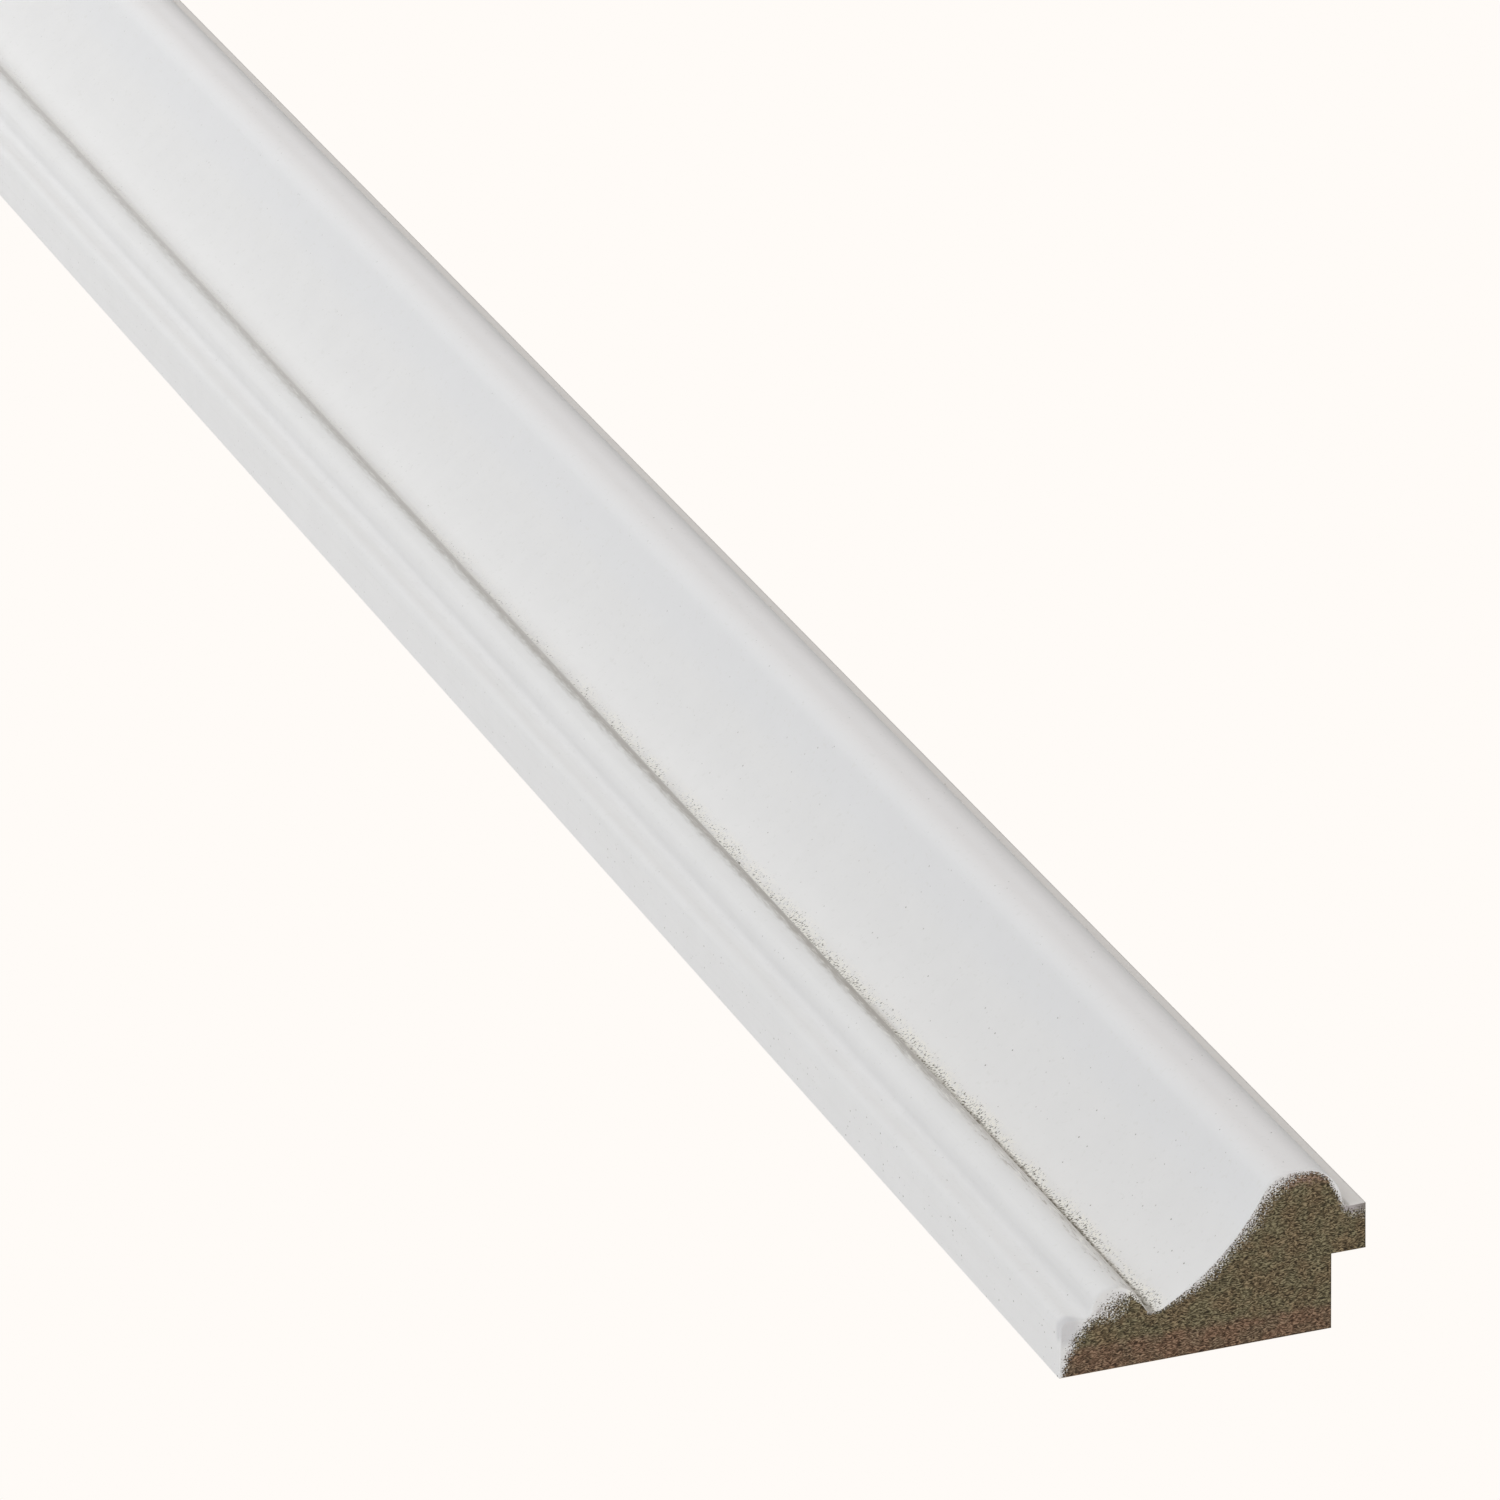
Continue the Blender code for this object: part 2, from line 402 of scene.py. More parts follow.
def buildRail():
    ring, outward, girth, rounds, bareCount = meshRing()
    count, half = len(ring), rail["length"] / 2
    turns = [math.pi / 2 * k / rail["arrisRings"] for k in range(rail["arrisRings"])]
    places, ringsAt, reaches = [], [], []

    def addRing(alongs, insets, unrolled):
        # one ring of points: where each is along the rail, how far inside the outline, and where along the
        # rail it would be if the arris were unrolled
        ringsAt.append(len(places))
        reaches.append(unrolled)
        for j in range(count):
            across, out = ring[j] - outward[j] * insets[j]
            places.append((alongs[j], across - rail["width"] / 2, out))

    def addArris(turn, side):
        # one ring of the rounded arris, which starts at no turn in the plane of the cut
        flat = half - rounds * (1 - math.cos(turn))
        unrolled = half - rounds + rounds * (math.pi / 2 - turn)
        addRing(side * flat, rounds * (1 - math.sin(turn)), side * unrolled)

    for turn in turns:
        addArris(turn, 1)
    for x in stations():
        depth = [
            0.0 if j < bareCount else sunk(x, ring[j, 0], ring[j, 1], girth[j]) for j in range(count)
        ]
        addRing(np.full(count, x), depth, np.full(count, x))
    for turn in reversed(turns):
        addArris(turn, -1)

    # the long faces, with their places on the sheet
    faces, kinds, spots = [], [], []
    painted, sawn, bare = range(3)
    here = np.arange(count)
    following = (here + 1) % count
    for k, (a, b) in enumerate(zip(ringsAt, ringsAt[1:])):
        faces += np.stack([a + here, b + here, b + following, a + following], 1).tolist()
        kinds += [bare] * bareCount + [painted] * (count - bareCount)
        near, far = half + rail["arrisRoom"] - reaches[k], half + rail["arrisRoom"] - reaches[k + 1]
        gone = np.stack([near, far, far[following], near[following]], 1)
        around = np.stack([girth[:-1], girth[:-1], girth[1:], girth[1:]], 1)
        spots.append(onSheet("bare", around[:bareCount], gone[:bareCount]))
        isClose = far.max() < sheet["closeLength"]
        shift = 0.0 if isClose else sheet["closeLength"] - rail["closeStep"] * sheet["overlap"]
        where = around[bareCount:] - girth[bareCount]
        spots.append(onSheet("close" if isClose else "far", where, gone[bareCount:] - shift))
    spots = [spot.reshape(-1, 2) for spot in spots]

    # the two sawn ends
    bareness = np.full(len(places), -1.0)
    rim = ring - outward * rounds[:, None]
    for side, base, name in ((1, ringsAt[0], "cutEnd"), (-1, ringsAt[-1], "farEnd")):
        points, triangles, gaps = endMesh(rim, rail[name + "Step"])
        start = len(places)
        for (across, out), gap in zip(points[count:], gaps[count:]):
            places.append((side * (half - torn(side, across, out, gap)), across - rail["width"] / 2, out))
        onEnd = coreBareness(points)
        bareness[base:base + count] = onEnd[:count]
        bareness = np.concatenate([bareness, onEnd[count:]])
        for face in triangles:
            face = face if side > 0 else face[::-1]
            faces.append([base + i if i < count else start + i - count for i in face])
            kinds.append(sawn)
            across, out = points[face, 0], points[face, 1]
            spots.append(onSheet(name, out, across) if side > 0 else onSheet(name, across, out))

    mesh = bpy.data.meshes.new("moulded_rail")
    mesh.from_pydata(places, [], faces)
    mesh.polygons.foreach_set("material_index", kinds)
    mesh.polygons.foreach_set("use_smooth", [True] * len(faces))
    mesh.attributes.new("bareness", "FLOAT", "POINT").data.foreach_set("value", bareness)
    mesh.uv_layers.new(name="OFBake").data.foreach_set("uv", np.vstack(spots).ravel())
    # the edges that run along the four true corners stay sharp
    around = np.full(len(places), -1)
    around[:count * len(ringsAt)] = np.tile(here, len(ringsAt))
    ends = np.empty(len(mesh.edges) * 2, np.int32)
    mesh.edges.foreach_get("vertices", ends)
    ends = around[ends].reshape(-1, 2)
    corners = [corner[1] for corner in sectionCorners() if corner[2] == 0]
    near = [min(math.dist(ring[j], corner) for corner in corners) for j in range(bareCount + 1)]
    onCorner = [j for j, gap in enumerate(near) if gap < rail["meeting"]]
    mesh.edges.foreach_set("use_edge_sharp", (ends[:, 0] == ends[:, 1]) & np.isin(ends[:, 0], onCorner))
    mesh.update()
    made = bpy.data.objects.new("moulded_rail", mesh)
    bpy.context.scene.collection.objects.link(made)
    return made


class Wire:
    # an output socket, so that sums on it add Math nodes
    def __init__(self, bench, socket):
        self.bench, self.socket = bench, socket

    def sum(self, operation, first, second):
        return self.bench.node("ShaderNodeMath", {"operation": operation}, {0: first, 1: second})

    def __add__(self, other):
        return self.sum("ADD", self, other)

    def __radd__(self, other):
        return self.sum("ADD", other, self)

    def __sub__(self, other):
        return self.sum("SUBTRACT", self, other)

    def __rsub__(self, other):
        return self.sum("SUBTRACT", other, self)

    def __mul__(self, other):
        return self.sum("MULTIPLY", self, other)

    def __rmul__(self, other):
        return self.sum("MULTIPLY", other, self)

    def __truediv__(self, other):
        return self.sum("DIVIDE", self, other)

    def __rtruediv__(self, other):
        return self.sum("DIVIDE", other, self)

    def __pow__(self, other):
        return self.sum("POWER", self, other)

    def __rpow__(self, other):
        return self.sum("POWER", other, self)


class Bench:
    # the node tree of a finish, the floor or the surroundings
    def __init__(self, owner):
        owner.use_nodes = True
        self.tree = owner.node_tree
        self.tree.nodes.clear()

    def node(self, kind, settings, sockets, output=0):
        made = self.tree.nodes.new(kind)
        for name, value in settings.items():
            if name == "stops":
                self.setStops(made.color_ramp, value)
            else:
                setattr(made, name, value)
        for name, value in sockets.items():
            if isinstance(value, Wire):
                self.tree.links.new(value.socket, made.inputs[name])
            else:
                made.inputs[name].default_value = value
        return Wire(self, made.outputs[output]) if made.outputs else None

    def setStops(self, ramp, stops):
        while len(ramp.elements) < len(stops):
            ramp.elements.new(0.5)
        for element, (position, colour) in zip(ramp.elements, stops):
            element.position, element.color = position, colour

    def millimetres(self):
        # the rail's own coordinates
        place = self.node("ShaderNodeTexCoord", {}, {}, "Object")
        return self.node("ShaderNodeVectorMath", {"operation": "SCALE"}, {0: place, "Scale": mm})

    def shifted(self, place, by, amount):
        # moved by a noise colour, which is even about a half
        centred = self.node("ShaderNodeVectorMath", {"operation": "SUBTRACT"}, {0: by, 1: (0.5, 0.5, 0.5)})
        scaled = self.node("ShaderNodeVectorMath", {"operation": "SCALE"}, {0: centred, "Scale": amount})
        return self.node("ShaderNodeVectorMath", {"operation": "ADD"}, {0: place, 1: scaled})

    def part(self, place, axis):
        return self.node("ShaderNodeSeparateXYZ", {}, {"Vector": place}, axis)

    def cloud(self, place, scale, detail, roughness, output="Fac"):
        sockets = {"Vector": place, "Scale": scale, "Detail": detail, "Roughness": roughness}
        return self.node("ShaderNodeTexNoise", {}, sockets, output)

    def streaked(self, place, stretch, noiseSettings):
        # the same, on a place that is stretched along, across and out
        moved = self.node("ShaderNodeVectorMath", {"operation": "MULTIPLY"}, {0: place, 1: stretch})
        return self.cloud(moved, *noiseSettings)

    def ease(self, value, start, end, low=0.0, high=1.0):
        # low up to the start, high from the end on; the start may be the greater
        if start > end:
            start, end, low, high = end, start, high, low
        sockets = {"Value": value, "From Min": start, "From Max": end, "To Min": low, "To Max": high}
        return self.node("ShaderNodeMapRange", {"interpolation_type": "SMOOTHSTEP"}, sockets)

    def bump(self, value, middle, full, none):
        # 1 within full of the middle, falling to 0 at none
        away = self.node("ShaderNodeMath", {"operation": "ABSOLUTE"}, {0: value - middle})
        return self.ease(away, full, none, 1.0, 0.0)

    def blend(self, mask, under, over, mode="MIX"):
        settings = {"data_type": "RGBA", "blend_type": mode}
        return self.node("ShaderNodeMix", settings, {0: mask, 6: under, 7: over}, 2)

    def ramp(self, value, stops):
        return self.node("ShaderNodeValToRGB", {"stops": stops}, {"Fac": value})

    def pits(self, place, spacing, size, rarity):
        # small round pits, one to a cell at most; the rarer, the fewer of them are strong
        cell = self.node("ShaderNodeTexVoronoi", {"feature": "F1"}, {"Vector": place, "Scale": 1 / spacing})
        chance = Wire(self, cell.socket.node.outputs["Color"])
        radius = (0.5 + 0.5 * self.part(chance, 0)) * (size / spacing)
        return self.ease(cell - radius, 0.0, -0.5 * size / spacing) * self.part(chance, 1) ** rarity

    def relief(self, height, strength):
        # a height in millimetres, as a normal
        return self.node("ShaderNodeBump", {}, {"Height": height, "Strength": strength, "Distance": 1 / mm})

    def finish(self, colour, roughness, normal, gloss):
        sockets = {"Base Color": colour, "Roughness": roughness, "Normal": normal}
        sockets["Specular IOR Level"] = gloss
        shader = self.node("ShaderNodeBsdfPrincipled", {}, sockets)
        self.node("ShaderNodeOutputMaterial", {}, {"Surface": shader})


def tone(red, green, blue):
    # a colour named by its values on screen
    def linear(value):
        value /= 255
        return value / 12.92 if value <= 0.04045 else ((value + 0.055) / 1.055) ** 2.4
    return (linear(red), linear(green), linear(blue), 1.0)


# The white primer. Sizes are in millimetres, and places across the rail count from its foot edge.
# - A noise is its scale, detail and roughness, after its stretch along, across and out where it has one.
# - A fade is where it starts and ends, and then what it gives there, if that isn't 0 and 1.
# - A band is its middle, and how far from there it is still full and gone.
# - In the groove, the middle and the ends that stand by themselves count from the groove's line.
primer = {
    "white": tone(238, 238, 238),
    "pale": tone(240, 240, 240),
    "dull": tone(233, 233, 232),
    "cool": tone(234, 236, 240),
    "blush": tone(240, 237, 237),
    "cream": tone(249, 247, 240),
    # painted shade on the lip
    "lipPaintedShade": tone(232, 228, 224),
    # painted shade down into the groove
    "grooveShade": tone(210, 206, 200),
    # painted shade at the ridge's foot; darker too at the lip's edge
    "footShadeAndEdge": tone(194, 190, 186),
    # painted shade on the step beside the cut
    "stepShade": tone(222, 222, 224),
    # painted shadow line along the groove's bottom
    "line": tone(162, 157, 148),
    "clot": tone(104, 98, 84),
    "hair": tone(168, 161, 150),
    "speck": tone(100, 94, 78),
    "pit": tone(126, 122, 112),
    # cloudiness, streaks, flecks and tints, and the lip's painted shade
    "clouds": (0.16, 3.0, 0.6),
    "cloudFade": (0.3, 0.7),
    "streaks": ((0.02, 1.0, 1.0), (1.1, 3.0, 0.6)),
    "streakFade": (0.45, 0.75),
    "streakSide": (18.0, 3.0, 0.2, 1.0),
    "coolBand": (26.0, 1.0, 4.0),
    "blushBand": (31.0, 1.5, 4.5),
    "lipSide": (36.5, 37.2),
    "flecks": (1.4, 1.0, 0.5),
    "fleckFade": (0.64, 0.73),
    # painted shade down the bead's side into the groove, the painted shadow higher up it, and the hairs on
    # it
    "groovePlace": 12.1,
    "grooveShadeSide": (6.3, 10.4),
    "grooveShadeEnd": 0.2,
    "grooveShadeGone": 1.1,
    "grooveShadeAlong": (140.0, 50.0, 0.3, 1.0),
    "climbAlong": (100.0, 220.0),
    "climb": 0.4,
    "hairs": ((0.45, 2.6, 2.6), (1.0, 2.0, 0.6)),
    "hairSpread": 1.6,
    "highShadePlace": -3.2,
    "highShadeBand": (0.1, 1.8),
    "highShadeStart": (30.0, 90.0),
    "highShadeAlong": (60.0, 420.0, 0.76, 0.38),
    "hairPlace": -3.5,
    "hairBand": (0.4, 1.3),
    "hairAlong": (120.0, 30.0, 0.2, 0.55),
    "darkHairs": (0.56, 0.62),
    "paleHairs": (0.43, 0.37),
    # the fibres beyond the line that the primer missed
    "patches": ((0.09, 0.3, 0.3), (1.0, 3.0, 0.7)),
    "patchFade": (0.34, 0.62, 0.3, 1.0),
    "missedStart": -0.4,
    "missedFull": 0.4,
    "missedGone": 3.1,
    "missedAlong": (320.0, 10.0, 0.25, 1.0),
    "missedFade": (0.0, 0.7),
    "fibres": ((4.6, 2.4, 3.4), (1.0, 2.0, 0.6)),
    "fibreFade": (0.58, 0.46),
    "speckBoost": 0.15,
    "speckFade": (0.68, 0.73),
    "speckSide": (0.05, 0.4),
    # the painted shadow line along the groove's bottom
    "wander": ((0.35, 1.0, 1.0), (0.7, 3.0, 0.7)),
    "wanderBy": 0.6,
    "lineBand": (0.2, 0.65),
    "lineAlong": (110.0, 40.0),
    "clots": ((0.8, 1.6, 1.6), (1.5, 3.0, 0.65)),
    "clotFade": (0.5, 0.6),
    # painted shade at the ridge's foot, a darker lip edge, and painted shade on the step beside the cut
    "footBand": (37.35, 0.3, 0.8),
    "lipEdge": (39.7, 39.95),
    "stepShadeAlong": (1.4, 0.2),
    "stepShadeBand": (0.6, 0.8, 2.6),
    "stepShadeOut": (4.4, 5.8),
    # pits and pimples, whose light colour is a painted highlight, as spacing, size and rarity, how they thin
    # out along the rail, and the orange peel
    "pits": (0.95, 0.17, 5.0),
    "pimplesAndHighlights": (1.2, 0.15, 1.0),
    "nearEnd": (260.0, 0.0, 0.4, 1.0),
    "peel": (1.6, 2.0, 0.5),
    # how strongly each colours the primer, how high it stands and how much rougher it is
    "strength": {
        "streaks": 0.35,
        "cool": 0.3,
        "blush": 0.5,
        "lip": 0.9,
        "flecks": 0.6,
        "line": 0.75,
        "clots": 0.85,
        "footShadeAndEdge": 0.8,
        "pimplesAndHighlights": 0.35,
    },
    "height": {"peel": 0.012, "pits": 0.05, "pimplesAndHighlights": 0.02, "specks": 0.05, "streaks": 0.01},
    "rougher": {"clouds": 0.12, "pits": 0.2, "missed": 0.1},
    "relief": 0.6,
    "roughness": 0.68,
    "gloss": 0.5,
}


def primerLook(bench, place):
    # colour, roughness and height of the primer, by where it is on the rail
    across = bench.part(place, 1) + mm * rail["width"] / 2
    fromEnd = mm * rail["length"] / 2 - bench.part(place, 0)
    nearEnd = bench.ease(fromEnd, *primer["nearEnd"])
    strength = primer["strength"]
    # cloudiness, brush-fine streaks along the rail, tints that follow the form, and painted shade on the lip
    cloudy = bench.cloud(place, *primer["clouds"])
    colour = bench.blend(bench.ease(cloudy, *primer["cloudFade"]), primer["white"], primer["pale"])
    streaks = bench.streaked(place, *primer["streaks"])
    streakMask = bench.ease(streaks, *primer["streakFade"]) * bench.ease(across, *primer["streakSide"])
    colour = bench.blend(streakMask * strength["streaks"], colour, primer["dull"])
    coolMask = bench.bump(across, *primer["coolBand"]) * strength["cool"]
    colour = bench.blend(coolMask, colour, primer["cool"])
    blushMask = bench.bump(across, *primer["blushBand"]) * strength["blush"]
    colour = bench.blend(blushMask, colour, primer["blush"])
    lipShadeMask = bench.ease(across, *primer["lipSide"]) * strength["lip"]
    colour = bench.blend(lipShadeMask, colour, primer["lipPaintedShade"])
    flecks = bench.ease(bench.cloud(place, *primer["flecks"]), *primer["fleckFade"])
    colour = bench.blend(flecks * strength["flecks"], colour, primer["dull"])
    # the groove: painted shade down the bead's side
    line = primer["groovePlace"]
    grooveShade = bench.ease(across, *primer["grooveShadeSide"])
    grooveShade = grooveShade * bench.ease(across, line + primer["grooveShadeGone"], line + primer["grooveShadeEnd"])
    colour = bench.blend(grooveShade * bench.ease(fromEnd, *primer["grooveShadeAlong"]), colour, primer["grooveShade"])
    # further from the cut end a painted shadow sits up on the bead's side, and the groove's bottom is
    # lighter
    higher = bench.ease(fromEnd, *primer["climbAlong"]) * primer["climb"]
    hairs = bench.streaked(place, *primer["hairs"])
    ragged = across + higher + (hairs - 0.5) * primer["hairSpread"]
    highShade = bench.bump(ragged, line + primer["highShadePlace"], *primer["highShadeBand"])
    highShade = highShade * bench.ease(fromEnd, *primer["highShadeStart"])
    highShade = highShade * bench.ease(fromEnd, *primer["highShadeAlong"])
    colour = bench.blend(highShade, colour, primer["line"])
    # raised hairs on the bead's side, dark and pale
    onFlank = bench.bump(across, line + primer["hairPlace"], *primer["hairBand"])
    onFlank = onFlank * bench.ease(fromEnd, *primer["hairAlong"])
    colour = bench.blend(bench.ease(hairs, *primer["darkHairs"]) * onFlank, colour, primer["hair"])
    colour = bench.blend(bench.ease(hairs, *primer["paleHairs"]) * onFlank, colour, primer["cream"])
    # fibres on the slope beyond the line that the primer missed
    patches = bench.streaked(place, *primer["patches"])
    missed = bench.ease(across, line + primer["missedGone"], line + primer["missedFull"])
    missed = missed * bench.ease(across, line + primer["missedStart"], line)
    missed = missed * bench.ease(fromEnd, *primer["missedAlong"]) * bench.ease(patches, *primer["patchFade"])
    fibres = bench.streaked(place, *primer["fibres"])
    bared = bench.ease(missed, *primer["missedFade"]) * bench.ease(fibres, *primer["fibreFade"])
    colour = bench.blend(bared, colour, primer["cream"])
    # a painted shadow line along the bottom with clots in it, and specks on the slope
    wander = (bench.streaked(place, *primer["wander"]) - 0.5) * primer["wanderBy"]
    lineMask = bench.bump(across + wander, line, *primer["lineBand"])
    lineMask = lineMask * bench.ease(fromEnd, *primer["lineAlong"])
    colour = bench.blend(lineMask * strength["line"], colour, primer["line"])
    clots = bench.ease(bench.streaked(place, *primer["clots"]), *primer["clotFade"])
    colour = bench.blend(lineMask * clots * strength["clots"], colour, primer["clot"])
    specks = bench.ease(fibres + missed * primer["speckBoost"], *primer["speckFade"])
    colour = bench.blend(specks * bench.ease(missed, *primer["speckSide"]), colour, primer["speck"])
    # painted shade in the crease at the ridge's foot, darker colour at the lip's edge, and painted shade on
    # the step beside the cut
    footShadeAndEdge = bench.bump(across, *primer["footBand"]) + bench.ease(across, *primer["lipEdge"])
    colour = bench.blend(footShadeAndEdge * strength["footShadeAndEdge"], colour, primer["footShadeAndEdge"])
    stepShade = bench.ease(fromEnd, *primer["stepShadeAlong"]) * bench.bump(across, *primer["stepShadeBand"])
    stepShade = stepShade * bench.ease(bench.part(place, 2), *primer["stepShadeOut"])
    colour = bench.blend(stepShade, colour, primer["stepShade"])
    # pimples, their light colour a painted highlight, and pits, thicker near the cut end; most are faint
    pimplesAndHighlights = bench.pits(place, *primer["pimplesAndHighlights"]) * nearEnd
    pits = bench.pits(place, *primer["pits"]) * nearEnd
    colour = bench.blend(pimplesAndHighlights * strength["pimplesAndHighlights"], colour, primer["cream"])
    colour = bench.blend(pits, colour, primer["pit"])
    peel, high = bench.cloud(place, *primer["peel"]), primer["height"]
    height = peel * high["peel"] - pits * high["pits"] + pimplesAndHighlights * high["pimplesAndHighlights"]
    height = height + specks * missed * high["specks"] + streaks * high["streaks"]
    rougher = primer["rougher"]
    roughness = primer["roughness"] + (cloudy - 0.5) * rougher["clouds"]
    roughness = roughness + pits * rougher["pits"] + missed * rougher["missed"]
    return colour, roughness, height


def primerFinish():
    material = bpy.data.materials.new("satin_primer")
    bench = Bench(material)
    place = bench.millimetres()
    colour, roughness, height = primerLook(bench, place)
    bench.finish(colour, roughness, bench.relief(height, primer["relief"]), primer["gloss"])
    return material


# The fibreboard. The sawn end is darker and rougher than the faces that the board came with. Noises, fades
# and bands are given as for the primer.
board = {
    # the core, the redder skin at the back and in the ridge's crown, and a tint for each patch of them
    "core": [(0.375, tone(48, 40, 26)), (0.5, tone(97, 85, 63)), (0.625, tone(156, 141, 112))],
    "skin": [(0.37, tone(56, 41, 28)), (0.5, tone(104, 83, 65)), (0.64, tone(164, 137, 114))],
    "skinDepth": 3.4,
    "skinBlur": 0.7,
    "crownDepth": 1.9,
    "crownBlur": 0.6,
    "layerWaves": (0.5, 2.0, 0.6),
    "layerSway": 2.4,
    "olive": (0.96, 1.03, 1.00, 1.0),
    "brown": (1.05, 0.98, 0.94, 1.0),
    "mottle": (0.32, 2.0, 0.6),
    "mottleFade": (0.38, 0.62),
    # the fibres of the cut
    "drift": (1.2, 1.0, 0.5),
    "driftBy": 0.7,
    "coarse": ((1.0, 1.7, 6.0), (1.0, 1.0, 0.5)),
    "coarseShare": 0.6,
    "fine": ((1.7, 3.6, 10.0), (1.0, 0.0, 0.5)),
    "fineShare": 0.4,
    # the light specks in the ridge's top
    "pink": tone(190, 162, 148),
    "pinks": ((1.0, 2.4, 3.4), (1.0, 2.0, 0.7)),
    "pinkFade": (0.52, 0.62),
    "pinkOut": (19.2, 21.0),
    # the dark line at the back, on the rebate's wall up to its seat, and at the lip's edge
    "edge": tone(46, 39, 30),
    "backLine": (0.26, 0.06),
    "wallLine": (0.24, 0.06),
    "seatLine": 0.1,
    "lipLine": (0.3, 0.08),
    # the dark bits and light ones at the edge of the core
    "bits": ((1.0, 1.0, 1.2), (4.2, 2.0, 0.7)),
    "edgeBits": (0.62, 0.5),
    "bit": tone(48, 42, 30),
    "bitBand": (-0.05, 0.15, 0.5),
    "bitFade": (0.44, 0.56),
    "salt": tone(232, 228, 214),
    "saltBand": (0.0, 0.3, 0.9),
    "saltFade": (0.44, 0.36),
    # the primer that the saw broke, which is kept where the ragged bareness is low
    "breakUp": ((1.0, 4.2, 5.6), (1.0, 1.0, 0.6)),
    "breakBy": 5.0,
    "wide": (1.1, 2.0, 0.6),
    "wideBy": 1.4,
    "keptFade": (-0.2, -0.5),
    "fringe": tone(241, 240, 239),
    "fringeLow": tone(206, 201, 200),
    "shade": ((1.0, 1.0, 1.2), (1.9, 3.0, 0.65)),
    "shadeFade": (0.56, 0.4),
    "shadeDeep": (-1.3, -0.7),
    # painted shade on the step's shoulder
    "shoulderShade": tone(214, 213, 215),
    "shoulderBand": (1.2, 0.6, 2.2),
    "shoulderOut": (5.9, 0.9, 2.3),
    "lipFringe": tone(170, 161, 160),
    "lipCorner": tone(120, 110, 102),
    "lipSide": (36.4, 37.6),
    "cornerSide": (38.2, 39.9),
    "creamBand": (9.9, 0.7, 1.3),
    # the face that the board came with, and the mist of primer on it
    "face": [(0.25, tone(146, 121, 93)), (0.5, tone(172, 147, 117)), (0.75, tone(196, 172, 142))],
    "faceDrift": (0.5, 2.0, 0.6),
    "faceDriftBy": 1.2,
    "faceFibres": ((0.9, 2.6, 2.6), (1.0, 3.0, 0.65)),
    "facePatch": tone(146, 121, 93),
    "patches": (0.06, 3.0, 0.6),
    "patchFade": (0.3, 0.7),
    "mistWidth": 1.2,
    "mistFade": (0.35, 0.6),
    "faceRoughness": (0.2, 0.8, 0.86, 0.72),
    # how strongly each colours the board, and how high it stands
    "strength": {
        "pink": 0.9,
        "edge": 0.8,
        "shoulderShade": 0.8,
        "lip": 0.9,
        "cream": 0.8,
        "patches": 0.35,
        "mist": 0.8,
    },
    "height": {"grain": 0.12, "kept": 0.05, "face": 0.03},
    "relief": 0.8,
    "faceRelief": 0.6,
    "roughness": 0.9,
    "gloss": 0.2,
}


def sawnLook(bench, place):
    # the fibres of the cut: short curved dashes that lie across the rail, redder next to the back
    drift = bench.cloud(place, *board["drift"], "Color")
    warped = bench.shifted(place, drift, board["driftBy"])
    coarse = bench.streaked(warped, *board["coarse"])
    fine = bench.streaked(warped, *board["fine"])
    grain = coarse * board["coarseShare"] + fine * board["fineShare"]
    colour = bench.ramp(grain, board["core"])
    skinned = bench.ramp(grain, board["skin"])
    # the board's two outer layers, at the back and in the ridge's crown
    wavy = bench.cloud(place, *board["layerWaves"])
    out = bench.part(place, 2) + (wavy - 0.5) * board["layerSway"]
    back, blur = board["skinDepth"], board["skinBlur"]
    crown, crownBlur = mm * rail["thickness"] - board["crownDepth"], board["crownBlur"]
    skin = bench.ease(out, back + blur, back - blur) + bench.ease(out, crown - crownBlur, crown + crownBlur)
    colour = bench.blend(skin, colour, skinned)
    mottle = bench.ease(bench.cloud(place, *board["mottle"]), *board["mottleFade"])
    tint = bench.blend(mottle, board["olive"], board["brown"])
    return bench.blend(1.0, colour, tint, "MULTIPLY"), grain


def edgeLine(bench, across, out):
    # where the sawn end meets a side that has no primer
    wall, seat = mm * (rail["width"] - rail["lipOverhang"]), mm * rail["rebateHeight"]
    lip = mm * rail["width"]
    start, full = board["wallLine"]
    onWall = bench.ease(across, wall - start, wall - full) * bench.ease(out, seat, seat - board["seatLine"])
    start, full = board["lipLine"]
    return bench.ease(out, *board["backLine"]) + onWall + bench.ease(across, lip - start, lip - full)


def brokenPrimer(bench, place, across, out, bareness):
    # the colour of the primer round the sawn end: greyer towards the core and on the lip, with painted shade
    # on the step's shoulder
    strength = board["strength"]
    shade = bench.streaked(place, *board["shade"])
    dingy = bench.ease(shade, *board["shadeFade"]) * bench.ease(bareness, *board["shadeDeep"])
    fringe = bench.blend(dingy, board["fringe"], board["fringeLow"])
    # painted shade on the step's shoulder
    onShoulder = bench.bump(across, *board["shoulderBand"]) * bench.bump(out, *board["shoulderOut"])
    fringe = bench.blend(onShoulder * strength["shoulderShade"], fringe, board["shoulderShade"])
    lipColour = bench.blend(bench.ease(across, *board["cornerSide"]), board["lipFringe"], board["lipCorner"])
    fringe = bench.blend(bench.ease(across, *board["lipSide"]) * strength["lip"], fringe, lipColour)
    creamy = bench.bump(across, *board["creamBand"]) * strength["cream"]
    return bench.blend(creamy, fringe, primer["cream"])


